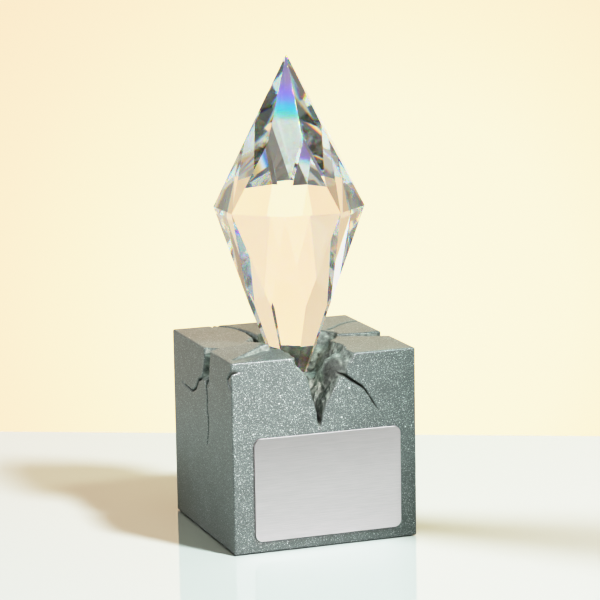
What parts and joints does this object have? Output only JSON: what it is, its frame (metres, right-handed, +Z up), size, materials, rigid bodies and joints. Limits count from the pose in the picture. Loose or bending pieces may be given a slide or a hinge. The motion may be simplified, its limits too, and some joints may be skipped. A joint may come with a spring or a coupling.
{
  "type": "crystal award",
  "caption": "Free-standing presentation award: an eight-fold cut-crystal spire bonded point up into a cracked cast-stone cube, with a blank metal plate on the front.",
  "frame": {"origin": "centre of the award's underside, on the table", "axes": "+Z up along the crystal's axis, the plate faces -Y, +X to the right of a person reading the plate"},
  "size_m": [0.1, 0.1014, 0.2495],
  "materials": {
    "cast_stone": "matt, speckled grey-green",
    "optical_crystal": "polished, clear",
    "clear_adhesive": "clear, cured",
    "satin_aluminium": "satin, brushed along its length",
    "tape_film": "matt black",
    "pad_foam": "matt black foam"
  },
  "bodies": {
    "root": {"stone_base": "cast_stone", "crystal_spire": "optical_crystal", "crystal_bond": "clear_adhesive", "engraving_plate": "satin_aluminium", "plate_tape": "tape_film", "base_pad": "pad_foam"}
  },
  "joints": []
}
